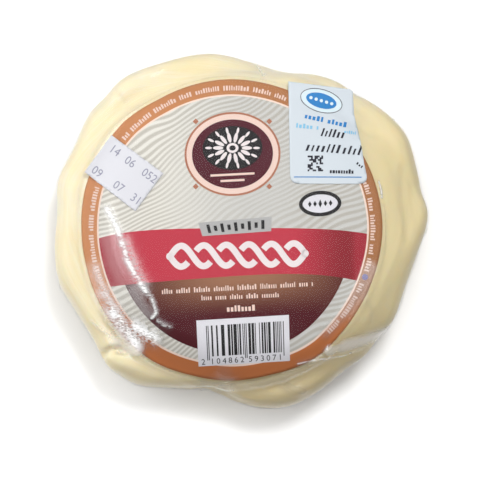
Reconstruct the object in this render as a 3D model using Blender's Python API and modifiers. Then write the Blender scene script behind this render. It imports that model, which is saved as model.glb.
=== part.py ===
"""A flattened ball of string cheese, wound from broad bands and sealed in clear film, with its labels."""

import math

import bmesh
import bpy
from mathutils import Matrix, Vector

MM = 0.001

# Heart of the ball: a low round body that the bands are wound on
CORE_RADIUS_X = 63.0 * MM
CORE_RADIUS_Y = 60.0 * MM
CORE_TOP = 44.5 * MM
CORE_MIDDLE = 21.0 * MM
CORE_BOTTOM = 2.6 * MM
CORE_CROWN = 0.07  # share of the height that the dome loses towards its edge
CORE_PLATEAU = 8.0  # power on the radius: higher keeps the top and the underside flat further out
CORE_SHOULDER = 2.2  # power on the height: higher makes the shoulders rounder

# Bands round the rim: half width up and down, half thickness in and out
BAND_HALF_WIDTH = 14.5 * MM
BAND_HALF_THICKNESS = 6.5 * MM
BAND_SQUARENESS = 0.72  # how far along its sides the band's section stays flat

# Each band's course: angle in degrees, outer radius and middle height in mm, and its fullness.
# Each band lies over the start of the next one round, and dives under the one before it.
RIM_BANDS = {
    "top": [(66, 57, 17, 0.7), (79, 61, 17, 0.85), (92, 63.6, 18, 1.0), (108, 68.0, 20, 1.05),
            (122, 70.8, 21, 1.05), (133, 71.8, 22, 0.95), (147, 66, 25, 0.6)],
    "left": [(126, 60, 16, 0.7), (139, 72.0, 18, 1.0), (156, 70.6, 19, 1.05), (169, 71.8, 20, 1.1),
             (193, 72.3, 21, 1.05), (212, 69.2, 22, 1.0), (226, 71.6, 23, 0.8), (237, 63, 25, 0.55)],
    "low_left": [(216, 62, 15, 0.7), (230, 70.8, 17, 0.95), (241, 66.4, 19, 1.0), (252, 62.4, 21, 0.95),
                 (264, 57, 24, 0.7)],
    "low_right": [(250, 55, 15, 0.7), (264, 61.2, 17, 0.95), (277, 66.4, 18, 1.0), (290, 66.8, 19, 1.0),
                  (304, 63.4, 19, 0.95), (316, 63.2, 19, 0.8), (328, 58, 18, 0.6)],
    "right_low": [(313, 56, 22, 0.6), (325, 63.4, 22, 0.9), (340, 62.8, 22, 1.05), (354, 64.0, 22, 1.05),
                  (366, 67.4, 23, 0.85), (377, 61, 26, 0.55)],
    "right_high": [(355, 58, 15, 0.7), (369, 65.6, 18, 0.95), (384, 67.6, 20, 1.1), (392, 69.0, 21, 1.1),
                   (406, 65.4, 22, 1.0), (420, 59, 24, 0.7)],
    "low_stretch": [(398, 58, 14, 0.7), (410, 64.0, 16, 0.85), (421, 64.4, 17, 0.9), (432, 60.8, 18, 0.85),
                    (443, 56, 20, 0.7)],
}

# Bands that climb across the shoulder, narrower, and lean in with it
SHOULDER_LEAN = -40.0
SHOULDER_BANDS = {
    "over_left": [(146, 56, 14, 0.6), (164, 67.0, 18, 0.75), (186, 66.5, 23, 0.8), (206, 64.0, 26, 0.75),
                  (226, 59, 28, 0.6)],
    "over_right": [(326, 53, 14, 0.6), (346, 59.5, 18, 0.75), (368, 62.5, 23, 0.8), (388, 63.5, 26, 0.75),
                   (408, 57, 28, 0.6)],
    "over_foot": [(236, 53, 14, 0.6), (256, 57.5, 18, 0.75), (276, 61.5, 23, 0.75), (296, 60.5, 26, 0.7),
                  (314, 56, 28, 0.6)],
    "over_head": [(58, 50, 14, 0.6), (80, 54.5, 18, 0.75), (102, 61.5, 23, 0.75), (122, 64.0, 26, 0.7),
                  (142, 59, 28, 0.6)],
}

# Bands across the underside: heading in degrees, sideways offset, half width and depth in mm
BASE_BANDS = {
    "base_wide": (24, -22, 17, 4.4),
    "base_middle": (31, 12, 15, 4.4),
    "base_cross": (146, 26, 14, 5.6),
    "base_end": (98, 34, 13, 4.8),
}
BASE_BAND_REACH = 52.0 * MM
BASE_BAND_RISE = 13.0 * MM
BASE_BAND_HALF_THICKNESS = 6.0 * MM

# Skin of the ball, as the film pulls it tight
SKIN_VOXEL = 1.7 * MM
SKIN_SMOOTH_FACTOR = 0.5
SKIN_SMOOTH_ROUNDS = 4
SKIN_KEPT_FACES = 0.2
FLOOR_BLOCK = 0.2

# Round paper label, seen through the film
LABEL_RADIUS = 54.5 * MM
LABEL_CENTRE = (-3.5 * MM, -1.6 * MM)
LABEL_GAP = 0.5 * MM
LABEL_THICKNESS = 0.3 * MM
LABEL_RINGS = 9  # closer together towards the edge, where the label bends most
LABEL_SEGMENTS = 72

# Stickers on top of the film
STICKER_GAP = 1.25 * MM
STICKER_STEPS = 13
STICKER_THICKNESS = 0.25 * MM
DATE_SIZE = (23.0 * MM, 17.0 * MM)
DATE_CENTRE = (-42.6 * MM, 18.6 * MM)
DATE_TURN = -35.6
SEAL_SIZE = (28.0 * MM, 34.0 * MM)
SEAL_CENTRE = (30.6 * MM, 33.0 * MM)
SEAL_TURN = 1.0
SEAL_TOP_NARROWING = 0.19  # the top slopes down over the rim, so it covers less ground
SEAL_CORNER_RADIUS = 2.5 * MM


def clear_scene():
    for obj in list(bpy.data.objects):
        bpy.data.objects.remove(obj, do_unlink=True)


def make_collection(name):
    collection = bpy.data.collections.new(name)
    bpy.context.scene.collection.children.link(collection)
    return collection


def make_material(name, colour, roughness):
    material = bpy.data.materials.new(name)
    material.use_nodes = True
    shader = material.node_tree.nodes["Principled BSDF"]
    shader.inputs["Base Color"].default_value = (*colour, 1.0)
    shader.inputs["Roughness"].default_value = roughness
    shader.inputs["Metallic"].default_value = 0.0
    return material


def object_from_bmesh(mesh_data, name, collection):
    mesh = bpy.data.meshes.new(name)
    mesh_data.to_mesh(mesh)
    mesh_data.free()
    obj = bpy.data.objects.new(name, mesh)
    collection.objects.link(obj)
    return obj


def make_core(collection):
    """The heart: a sphere flattened into a low round body with a broad top and underside."""
    body = bmesh.new()
    bmesh.ops.create_uvsphere(body, u_segments=64, v_segments=40, radius=1.0)
    for vertex in body.verts:
        level = vertex.co.z
        spread = (1.0 - abs(level) ** CORE_SHOULDER) ** (1.0 / CORE_PLATEAU)
        around = vertex.co.xy.normalized() if vertex.co.xy.length > 1e-6 else Vector((0.0, 0.0))
        depth = CORE_TOP - CORE_MIDDLE if level > 0 else CORE_MIDDLE - CORE_BOTTOM
        depth *= 1.0 - CORE_CROWN * spread ** 2
        vertex.co = (
            around.x * spread * CORE_RADIUS_X,
            around.y * spread * CORE_RADIUS_Y,
            CORE_MIDDLE + level * depth,
        )
    return object_from_bmesh(body, "core", collection)


def make_profile(name, half_thickness, half_width, collection):
    """A closed curve, flat-sided and round-cornered: a band's cross-section."""
    curve = bpy.data.curves.new(name, "CURVE")
    curve.dimensions = "2D"
    curve.fill_mode = "NONE"
    spline = curve.splines.new("BEZIER")
    spline.bezier_points.add(3)
    corners = [(half_thickness, 0), (0, half_width), (-half_thickness, 0), (0, -half_width)]
    for point, (across, up) in zip(spline.bezier_points, corners):
        handle = Vector((-up, across, 0.0)).normalized()
        reach = half_width if across else half_thickness
        point.co = (across, up, 0.0)
        point.handle_left_type = point.handle_right_type = "FREE"
        point.handle_left = point.co - handle * reach * BAND_SQUARENESS
        point.handle_right = point.co + handle * reach * BAND_SQUARENESS
    spline.use_cyclic_u = True
    spline.resolution_u = 5
    obj = bpy.data.objects.new(name, curve)
    collection.objects.link(obj)
    obj.hide_render = True
    obj.display_type = "WIRE"
    return obj


def sweep_band(name, points, fullness, lean, profile, collection):
    """A band swept along a smooth curve through its points, as a closed mesh."""
    curve = bpy.data.curves.new(name, "CURVE")
    curve.dimensions = "3D"
    curve.twist_mode = "Z_UP"
    curve.bevel_mode = "OBJECT"
    curve.bevel_object = profile
    curve.use_fill_caps = True
    spline = curve.splines.new("BEZIER")
    spline.bezier_points.add(len(points) - 1)
    spline.resolution_u = 5
    for bezier, place, full in zip(spline.bezier_points, points, fullness):
        bezier.co = place
        bezier.radius = full
        bezier.tilt = math.radians(lean)
        bezier.handle_left_type = bezier.handle_right_type = "AUTO"
    guide = bpy.data.objects.new(name, curve)
    collection.objects.link(guide)
    mesh = bpy.data.meshes.new_from_object(guide.evaluated_get(bpy.context.evaluated_depsgraph_get()))
    band = bpy.data.objects.new(name + "_band", mesh)
    band.matrix_world = guide.matrix_world
    collection.objects.link(band)
    bpy.data.objects.remove(guide, do_unlink=True)
    body = bmesh.new()
    body.from_mesh(mesh)
    bmesh.ops.remove_doubles(body, verts=body.verts, dist=0.00005)
    bmesh.ops.recalc_face_normals(body, faces=body.faces)
    body.to_mesh(mesh)
    body.free()
    return band


def rim_band(name, course, lean, profile, collection):
    """One band along the rim, set in from its outer radius by its half thickness."""
    points = []
    for angle, outer, height, full in course:
        turn = math.radians(angle)
        radius = outer * MM - BAND_HALF_THICKNESS * full
        points.append((radius * math.cos(turn), radius * math.sin(turn), height * MM))
    fullness = [stop[3] for stop in course]
    return sweep_band(name, points, fullness, lean, profile, collection)


def base_band(name, heading, offset, half_width, depth, collection):
    """One flat band across the underside, its ends rising into the rim."""
    profile = make_profile(name + "_profile", half_width * MM, BASE_BAND_HALF_THICKNESS, collection)
    along = Vector((math.cos(math.radians(heading)), math.sin(math.radians(heading)), 0.0))
    across = Vector((-along.y, along.x, 0.0)) * offset * MM
    points = []
    for step in (-1.0, -0.75, -0.4, 0.0, 0.4, 0.75, 1.0):
        rise = BASE_BAND_HALF_THICKNESS - depth * MM * 0.5 + BASE_BAND_RISE * step ** 4
        bow = across * (1.0 - 0.35 * step ** 2)
        points.append(along * BASE_BAND_REACH * step + bow + Vector((0.0, 0.0, rise)))
    fullness = [0.8, 0.95, 1.0, 1.0, 1.0, 0.95, 0.8]
    return sweep_band(name, points, fullness, 0.0, profile, collection)


def make_floor_cutter(collection):
    """A block under the floor plane: it leaves the ball its flat underside."""
    block = bmesh.new()
    bmesh.ops.create_cube(block, size=FLOOR_BLOCK)
    bmesh.ops.translate(block, verts=block.verts, vec=(0.0, 0.0, -FLOOR_BLOCK / 2))
    cutter = object_from_bmesh(block, "floor_cutter", collection)
    cutter.hide_render = True
    cutter.display_type = "WIRE"
    return cutter


def make_cheese_pack(collection, cutters):
    """The wound ball in its film: core and bands fused, smoothed, and flat underneath."""
    profile = make_profile("band_profile", BAND_HALF_THICKNESS, BAND_HALF_WIDTH, cutters)
    pieces = [make_core(cutters)]
    for name, course in RIM_BANDS.items():
        pieces.append(rim_band(name, course, 0.0, profile, cutters))
    for name, course in SHOULDER_BANDS.items():
        pieces.append(rim_band(name, course, SHOULDER_LEAN, profile, cutters))
    for name, values in BASE_BANDS.items():
        pieces.append(base_band(name, *values, cutters))

    joined = bmesh.new()
    for piece in pieces:
        joined.from_mesh(piece.data)
        bpy.data.objects.remove(piece, do_unlink=True)
    pack = object_from_bmesh(joined, "cheese_pack", collection)

    skin = pack.modifiers.new("skin", "REMESH")
    skin.mode = "VOXEL"
    skin.voxel_size = SKIN_VOXEL
    skin.use_smooth_shade = True
    soften = pack.modifiers.new("soften", "SMOOTH")
    soften.factor = SKIN_SMOOTH_FACTOR
    soften.iterations = SKIN_SMOOTH_ROUNDS
    thin = pack.modifiers.new("thin", "DECIMATE")
    thin.ratio = SKIN_KEPT_FACES
    flat = pack.modifiers.new("flat", "BOOLEAN")
    flat.operation = "DIFFERENCE"
    flat.object = make_floor_cutter(cutters)
    bake_and_centre(pack)
    pack.data.materials.append(make_material("cheese_in_film", (0.86, 0.76, 0.50), 0.3))
    return pack


def bake_and_centre(obj):
    """Applies the modifiers, then moves the mesh so that its box is centred on the origin."""
    evaluated = obj.evaluated_get(bpy.context.evaluated_depsgraph_get())
    mesh = bpy.data.meshes.new_from_object(evaluated)
    obj.modifiers.clear()
    obj.data = mesh
    xs = [vertex.co.x for vertex in mesh.vertices]
    ys = [vertex.co.y for vertex in mesh.vertices]
    zs = [vertex.co.z for vertex in mesh.vertices]
    middle = Vector(((min(xs) + max(xs)) / 2, (min(ys) + max(ys)) / 2, min(zs)))
    mesh.transform(Matrix.Translation(-middle))
    mesh.shade_smooth()


def lay_on(obj, pack, gap, thickness):
    """Drops a flat sheet onto the pack from above and gives it its thickness."""
    drop = obj.modifiers.new("drop", "SHRINKWRAP")
    drop.target = pack
    drop.wrap_method = "PROJECT"
    drop.use_project_z = True
    drop.use_negative_direction = True
    drop.use_positive_direction = False
    drop.offset = gap
    body = obj.modifiers.new("thickness", "SOLIDIFY")
    body.thickness = thickness
    body.offset = 1.0
    obj.data.shade_smooth()


def make_label(pack, collection):
    """The round label: a disc turned from one spoke, then laid on the ball's top."""
    disc = bmesh.new()
    spoke = []
    for ring in range(LABEL_RINGS + 1):
        reach = math.sin(math.pi / 2 * ring / LABEL_RINGS)
        spoke.append(disc.verts.new((LABEL_RADIUS * reach, 0.0, 0.0)))
    edges = [disc.edges.new(pair) for pair in zip(spoke, spoke[1:])]
    bmesh.ops.spin(
        disc, geom=spoke + edges, cent=(0, 0, 0), axis=(0, 0, 1), angle=math.tau,
        steps=LABEL_SEGMENTS, use_merge=True,
    )
    bmesh.ops.remove_doubles(disc, verts=disc.verts, dist=0.00005)
    bmesh.ops.recalc_face_normals(disc, faces=disc.faces)
    face_up(disc)
    bmesh.ops.translate(disc, verts=disc.verts, vec=(*LABEL_CENTRE, CORE_TOP * 1.5))
    label = object_from_bmesh(disc, "round_label", collection)
    lay_on(label, pack, LABEL_GAP, LABEL_THICKNESS)
    label.data.materials.append(make_material("printed_label", (0.42, 0.10, 0.11), 0.45))
    return label


def face_up(sheet):
    sheet.faces.ensure_lookup_table()
    if sheet.faces[0].normal.z < 0:
        bmesh.ops.reverse_faces(sheet, faces=sheet.faces)


def make_sticker(name, size, centre, turn, narrowing, corner, pack, collection):
    """A small rectangular sticker: a grid whose top edge may cover less ground than its foot."""
    grid = bmesh.new()
    bmesh.ops.create_grid(grid, x_segments=STICKER_STEPS, y_segments=STICKER_STEPS, size=0.5)
    for vertex in grid.verts:
        x = vertex.co.x * size[0]
        y = vertex.co.y * size[1]
        past_x = abs(x) - (size[0] / 2 - corner)
        past_y = -y - (size[1] / 2 - corner)
        if corner > 0 and past_x > 0 and past_y > 0:
            shrink = corner / max(corner, math.hypot(past_x, past_y))
            x = math.copysign(size[0] / 2 - corner + past_x * shrink, x)
            y = -(size[1] / 2 - corner + past_y * shrink)
        squeeze = narrowing * max(0.0, y / size[1] + 0.5)
        x -= squeeze * (x + size[0] / 2)
        vertex.co = (x, y, 0.0)
    face_up(grid)
    place = Matrix.Translation((*centre, CORE_TOP * 1.5)) @ Matrix.Rotation(math.radians(turn), 4, "Z")
    bmesh.ops.transform(grid, matrix=place, verts=grid.verts)
    sticker = object_from_bmesh(grid, name, collection)
    lay_on(sticker, pack, STICKER_GAP, STICKER_THICKNESS)
    return sticker


def build():
    clear_scene()
    parts = make_collection("string_cheese_pack")
    cutters = make_collection("cutters")
    pack = make_cheese_pack(parts, cutters)
    make_label(pack, parts)
    date = make_sticker("date_sticker", DATE_SIZE, DATE_CENTRE, DATE_TURN, 0.0, 0.0, pack, parts)
    date.data.materials.append(make_material("date_paper", (0.86, 0.86, 0.90), 0.6))
    seal = make_sticker(
        "seal_sticker", SEAL_SIZE, SEAL_CENTRE, SEAL_TURN, SEAL_TOP_NARROWING, SEAL_CORNER_RADIUS,
        pack, parts,
    )
    seal.data.materials.append(make_material("seal_paper", (0.74, 0.82, 0.88), 0.4))


build()
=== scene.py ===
import math
import random

import bmesh
import bpy
import numpy as np
from mathutils import Matrix, Vector, noise
from mathutils.bvhtree import BVHTree


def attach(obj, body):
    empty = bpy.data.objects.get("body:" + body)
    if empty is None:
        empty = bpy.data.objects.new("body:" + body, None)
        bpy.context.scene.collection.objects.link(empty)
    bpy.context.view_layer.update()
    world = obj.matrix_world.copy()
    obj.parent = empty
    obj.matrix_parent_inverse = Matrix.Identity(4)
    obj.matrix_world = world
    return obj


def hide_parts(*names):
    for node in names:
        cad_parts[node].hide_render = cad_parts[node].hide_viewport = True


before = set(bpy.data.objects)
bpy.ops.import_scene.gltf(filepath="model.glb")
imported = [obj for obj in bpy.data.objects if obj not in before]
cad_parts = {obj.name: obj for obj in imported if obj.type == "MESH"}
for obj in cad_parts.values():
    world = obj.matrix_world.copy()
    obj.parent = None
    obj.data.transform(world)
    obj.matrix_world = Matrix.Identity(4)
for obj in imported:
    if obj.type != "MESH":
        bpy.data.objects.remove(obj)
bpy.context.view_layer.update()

mm = 0.001
scene = bpy.context.scene
print("frame loaded")


def linkPiece(name, data):
    obj = bpy.data.objects.new(name, data)
    scene.collection.objects.link(obj)
    return obj


def placeTurned(obj, place, turn):
    obj.location = place
    obj.rotation_mode = "QUATERNION"
    obj.rotation_quaternion = turn


# camera
# Places on the pack are given in pixels of the photograph and sent from the camera onto it.

camera = {
    "imageSize": 480, "sensor": 36.0, "lens": 146.0,
    "distance": 0.72, "elevation": 84.0, "aim": (0.3 * mm, -3.6 * mm, 22 * mm),
}

lean = math.radians(camera["elevation"])
towardsCamera = Vector((0, -math.cos(lean), math.sin(lean)))
cameraTurn = (-towardsCamera).to_track_quat("-Z", "Y")
cameraPlace = Vector(camera["aim"]) + towardsCamera * camera["distance"]


def addCamera():
    data = bpy.data.cameras.new("photo_camera")
    data.sensor_width = camera["sensor"]
    data.lens = camera["lens"]
    scene.camera = linkPiece("photo_camera", data)
    placeTurned(scene.camera, cameraPlace, cameraTurn)


def sightLine(px, py):
    half = camera["imageSize"] / 2
    reach = camera["sensor"] / camera["lens"] / camera["imageSize"]
    ray = Vector(((px - half) * reach, (half - py) * reach, -1))
    return (cameraTurn @ ray).normalized()


addCamera()
print("camera placed")


# helpers for meshes

def pieceFrom(bm, name):
    mesh = bpy.data.meshes.new(name)
    bm.to_mesh(mesh)
    bm.free()
    obj = linkPiece(name, mesh)
    shadeSmooth(obj)
    return obj


def finishPiece(obj, material, slotName, *replaced):
    obj.data.materials.clear()
    obj.data.materials.append(material)
    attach(obj, "root")
    if replaced:
        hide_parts(*replaced)


def applyModifiers(obj):
    graph = bpy.context.evaluated_depsgraph_get()
    baked = bpy.data.meshes.new_from_object(obj.evaluated_get(graph))
    obj.modifiers.clear()
    obj.data = baked


def relax(obj, steps):
    modifier = obj.modifiers.new("relaxed", "SMOOTH")
    modifier.factor = 0.5
    modifier.iterations = steps
    applyModifiers(obj)
    return readPoints(obj)


def giveBody(obj, thickness):
    # the outer face stays and the thickness goes inwards
    modifier = obj.modifiers.new("body", "SOLIDIFY")
    modifier.thickness = thickness
    modifier.offset = -1


def shadeSmooth(obj):
    obj.data.polygons.foreach_set("use_smooth", [True] * len(obj.data.polygons))


def readPoints(obj, what="co"):
    values = np.empty(len(obj.data.vertices) * 3)
    obj.data.vertices.foreach_get(what, values)
    return values.reshape(-1, 3)


def writePoints(obj, points):
    obj.data.vertices.foreach_set("co", points.astype(np.float32).ravel())
    obj.data.update()


def writeValues(obj, name, values):
    attribute = obj.data.attributes.new(name, "FLOAT", "POINT")
    attribute.data.foreach_set("value", np.asarray(values, np.float32))


def treeOf(obj):
    graph = bpy.context.evaluated_depsgraph_get()
    graph.update()
    return BVHTree.FromObject(obj, graph)


def smoothStep(low, high, value):
    t = np.clip((value - low) / (high - low), 0, 1)
    return t * t * (3 - 2 * t)


# helpers for materials

def feed(sockets, values):
    # each named socket gets a link or a constant
    for name, value in values.items():
        if isinstance(value, bpy.types.NodeSocket):
            value.id_data.links.new(value, sockets[name])
        else:
            sockets[name].default_value = value


def addNode(tree, kind, values=None, **settings):
    node = tree.nodes.new("ShaderNode" + kind)
    for name, value in settings.items():
        setattr(node, name, value)
    feed(node.inputs, values or {})
    return node


# these work in the node tree that their first socket belongs to

def calc(operation, *values, clamp=False):
    node = addNode(values[0].id_data, "Math", dict(enumerate(values)), operation=operation, use_clamp=clamp)
    return node.outputs[0]


def weigh(*pairs):
    # values times their shares, added up
    total = 0.0
    for value, share in pairs:
        total = calc("MULTIPLY_ADD", value, share, total)
    return total


def blendColours(mask, first, second):
    return addNode(mask.id_data, "Mix", {0: mask, 6: first, 7: second}, data_type="RGBA").outputs[2]


def distanceTo(place, centre):
    return addNode(place.id_data, "VectorMath", {0: place, 1: centre}, operation="DISTANCE").outputs["Value"]


def mapRange(value, fromLow, fromHigh, toLow=0.0, toHigh=1.0):
    values = {"Value": value, "From Min": fromLow, "From Max": fromHigh, "To Min": toLow, "To Max": toHigh}
    return addNode(value.id_data, "MapRange", values, interpolation_type="SMOOTHSTEP").outputs[0]


def noiseValue(place, scale, detail=3.0, roughness=0.55, fourth=None):
    values = {"Vector": place, "Scale": scale, "Detail": detail, "Roughness": roughness}
    kind = "3D"
    if fourth is not None:
        values["W"], kind = fourth, "4D"
    return addNode(place.id_data, "TexNoise", values, noise_dimensions=kind).outputs[0]


def startMaterial(name):
    material = bpy.data.materials.new(name)
    material.use_nodes = True
    tree = material.node_tree
    tree.nodes.clear()
    shader = addNode(tree, "BsdfPrincipled")
    addNode(tree, "OutputMaterial", {"Surface": shader.outputs[0]})
    return material, tree, shader.inputs


def objectPlace(tree):
    return addNode(tree, "TexCoord").outputs["Object"]


def startGroup(name, inputs, outputs):
    tree = bpy.data.node_groups.new(name, "ShaderNodeTree")
    for way, sockets in (("INPUT", inputs), ("OUTPUT", outputs)):
        for title, kind in sockets.items():
            tree.interface.new_socket(title, in_out=way, socket_type="NodeSocket" + kind)
    return tree, tree.nodes.new("NodeGroupInput").outputs, tree.nodes.new("NodeGroupOutput").inputs


def colour(red, green, blue):
    return (red, green, blue, 1.0)


def makePaperGrain():
    # fine fibres and slow unevenness of printed paper
    tree, given, result = startGroup(
        "paper_grain", {"Colour": "Color", "Unevenness": "Float", "Grain": "Float"},
        {"Colour": "Color", "Roughness": "Float", "Height": "Float"})
    place = objectPlace(tree)
    fibres = noiseValue(place, 2600.0, 2.0)
    slow = noiseValue(place, 90.0, 3.0)
    shade = calc("MULTIPLY", calc("SUBTRACT", slow, 0.5), given["Unevenness"])
    shaded = addNode(tree, "HueSaturation", {"Color": given["Colour"], "Value": calc("ADD", shade, 1.0)})
    feed(result, {"Colour": shaded.outputs[0], "Roughness": mapRange(slow, 0.2, 0.8, 0.42, 0.62),
                        "Height": calc("MULTIPLY", fibres, given["Grain"])})
    return tree


paperGrain = makePaperGrain()


def coverWithPaper(tree, surface, ink, unevenness=0.08, grain=0.5, specular=0.3, relief=0.15):
    made = addNode(tree, "Group", {"Colour": ink, "Unevenness": unevenness, "Grain": grain},
                   node_tree=paperGrain).outputs
    bump = addNode(tree, "Bump", {"Height": made["Height"], "Strength": relief, "Distance": 0.03 * mm})
    feed(surface, {"Base Color": made["Colour"], "Roughness": made["Roughness"],
                         "Normal": bump.outputs[0], "Specular IOR Level": specular})


def paperMaterial(name, ink, *look):
    material, tree, surface = startMaterial(name)
    coverWithPaper(tree, surface, colour(*ink), *look)
    return material


# the skin that cheese, label and film are laid on

skinSettings = {
    "voxel": 0.95 * mm, "merge": 0.01 * mm, "relaxSteps": 3,
    "hollowSteps": 230, "fill": 0.93, "fillFacing": (-0.15, 0.4), "evenSteps": 5,
    "rimBand": (48 * mm, 60 * mm), "rimBlur": 9,
}

# creases between the bands: points in photograph pixels, half width and depth in millimetres
creases = [
    ([(102, 355), (105, 353), (110, 351), (118, 350), (128, 351)], 1.0, 1.8),
    ([(112, 88), (118, 96), (124, 104)], 1.6, 0.45),
    ([(133, 72), (141, 79), (152, 82)], 1.4, 0.3),
    ([(360, 127), (368, 132), (378, 134)], 1.4, 0.45),
    ([(404, 168), (402, 200), (408, 236)], 1.8, 0.3),
    ([(222, 396), (228, 385), (240, 378)], 1.8, 0.6),
    ([(262, 386), (280, 384), (296, 374)], 1.6, 0.35),
]

# how far the rim stands out of the CAD's rim, in millimetres by direction in degrees
rimWander = {
    0: 0.4, 15: 0.2, 25: 0.45, 35: -0.3, 45: 0.2, 50: 1.1, 60: 0.7, 70: 0.75, 80: -0.25, 90: 0.45, 95: 1.1,
    100: 0.75, 110: -0.3, 115: -0.4, 120: 0.0, 125: 0.7, 130: 1.1, 137: 0.55, 150: 0.2, 155: 0.45, 160: 0.9,
    165: 1.2, 170: -0.4, 175: -1.8, 180: -1.6, 185: -0.9, 190: -0.3, 195: 0.4, 205: 0.0, 210: 0.6, 216: 0.1,
    221: -1.2, 224: 0.2, 228: 0.9, 240: 0.3, 250: -0.6, 260: -0.4, 272: 0.6, 285: 0.2, 290: 0.3, 295: -0.7,
    300: 0.1, 306: 0.2, 315: 0.9, 322: 0.9, 328: 0.6, 335: 0.0, 345: 0.0, 352: 0.6, 360: 0.4}


def fineCopy(node, name):
    obj = linkPiece(name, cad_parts[node].data.copy())
    bm = bmesh.new()
    bm.from_mesh(obj.data)
    bmesh.ops.remove_doubles(bm, verts=bm.verts, dist=skinSettings["merge"])
    bm.to_mesh(obj.data)
    bm.free()
    rounder = obj.modifiers.new("rounder", "SUBSURF")
    rounder.levels = rounder.render_levels = 1
    finer = obj.modifiers.new("finer", "REMESH")
    finer.mode = "VOXEL"
    finer.voxel_size = skinSettings["voxel"]
    relax(obj, skinSettings["relaxSteps"])
    shadeSmooth(obj)
    return obj


def distanceFrom(line, points):
    best = np.full(len(points), 1e9)
    for a, b in zip(line, line[1:]):
        a, b = np.array(a), np.array(b)
        span = b - a
        t = np.clip(((points - a) @ span) / max(span @ span, 1e-12), 0, 1)
        best = np.minimum(best, np.linalg.norm(points - (a + t[:, None] * span), axis=1))
    return best


def fallOff(distance, halfWidth, power=2):
    # 1 on the line, and next to nothing at twice the half width
    return np.exp(-(distance / halfWidth) ** power)


def hitsOf(tree, rays):
    return [hit for hit in (tree.ray_cast(*ray)[0] for ray in rays) if hit]


def castLine(line, tree):
    # a line of photograph pixels, where it falls on a surface
    return hitsOf(tree, [(cameraPlace, sightLine(x, y)) for x, y in line])


def fillHollows(obj):
    # soft cheese keeps only shallow hollows on top, so the deep ones come out most of the way
    s = skinSettings
    points, normals = readPoints(obj), readPoints(obj, "normal")
    out = ((relax(obj, s["hollowSteps"]) - points) * normals).sum(1)
    share = s["fill"] * smoothStep(*s["fillFacing"], normals[:, 2])
    points += normals * (np.maximum(out, 0) * share)[:, None]
    writePoints(obj, points)
    relax(obj, s["evenSteps"])


def trimRim(obj):
    s = skinSettings
    points = readPoints(obj)
    reach = np.hypot(points[:, 0], points[:, 1])
    around = np.degrees(np.arctan2(points[:, 1], points[:, 0])) % 360
    degrees = np.arange(-20, 381)
    course = np.interp(degrees % 360, list(rimWander), list(rimWander.values()))
    course = np.convolve(course, np.full(s["rimBlur"], 1 / s["rimBlur"]), "same")
    drift = np.interp(around, degrees, course) * smoothStep(*s["rimBand"], reach)
    points[:, :2] *= (1 + drift * mm / np.maximum(reach, mm))[:, None]
    writePoints(obj, points)
    relax(obj, 2)


def pressCreases(obj, share=1.0):
    tree = treeOf(obj)
    points, normals = readPoints(obj), readPoints(obj, "normal")
    for line, halfWidth, depth in creases:
        placed = castLine(line, tree)
        if len(placed) > 1:
            near = fallOff(distanceFrom(placed, points), halfWidth * mm)
            points -= normals * (near * depth * share * mm)[:, None]
    writePoints(obj, points)
    shadeSmooth(obj)


skin = fineCopy("cheese_pack", "skin")
fillHollows(skin)
trimRim(skin)
pressCreases(skin)
skinTree = treeOf(skin)
print("skin:", len(skin.data.vertices), "points")


# cheese

cheeseSettings = {
    "inset": 0.25 * mm, "footing": 0.4 * mm,
    # strands and the threads in them: length, width and shift of their noise, in millimetres
    "courses": ((34, 5.2, 0), (15, 2.1, 9)), "strandHeight": 0.22 * mm, "threadHeight": 0.1 * mm,
    "rimCentre": (38, 21), "waves": ((3.4, 2, 1.3), (2.1, 3, 0.4)),
    "underHeading": math.radians(28), "underFacing": (-0.6, -0.85),
    "paleColour": colour(0.975, 0.9, 0.72),
    "deepColour": colour(0.92, 0.8, 0.5),
    # painted shade: a deeper colour on the side away from the light and a deeper one still towards the bottom
    "shadedSideColour": colour(0.84, 0.725, 0.435), "shadedSideBand": (-0.01, 0.035),
    "lowShadeColour": colour(0.72, 0.605, 0.36), "lowShadeBand": (0.04, 0.062),
    "glow": 0.35, "glowRadius": (1.0, 0.7, 0.35), "glowDepth": 4 * mm,
}


def strandLay(points, normals):
    # distance across the strands, in millimetres: round the rim on the sides, straight across underneath
    s = cheeseSettings
    x, y, z = (points / mm).T
    out, high = s["rimCentre"]
    rim = np.arctan2(z - high, np.hypot(x, y) - out) * high
    for size, count, start in s["waves"]:
        rim += size * np.sin(count * np.arctan2(y, x) + start)
    under = y * math.cos(s["underHeading"]) - x * math.sin(s["underHeading"])
    share = smoothStep(*s["underFacing"], normals[:, 2])
    return rim * (1 - share) + under * share


def makeCheese():
    obj = linkPiece("cheese_ball", skin.data.copy())
    points, normals = readPoints(obj), readPoints(obj, "normal")
    lay = strandLay(points, normals)
    s = cheeseSettings
    relief = np.empty(len(points))
    for i, (p, aside) in enumerate(zip(points / mm, lay)):
        strand, thread = (noise.noise(Vector((p[0] / long + shift, p[1] / long, aside / wide)))
                          for long, wide, shift in s["courses"])
        relief[i] = -abs(strand) * 2 * s["strandHeight"] + thread * s["threadHeight"]
    points += normals * (relief - s["inset"])[:, None]
    points[:, 2] = np.maximum(points[:, 2], s["footing"])
    writePoints(obj, points)
    writeValues(obj, "lay", lay)
    return obj


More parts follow.
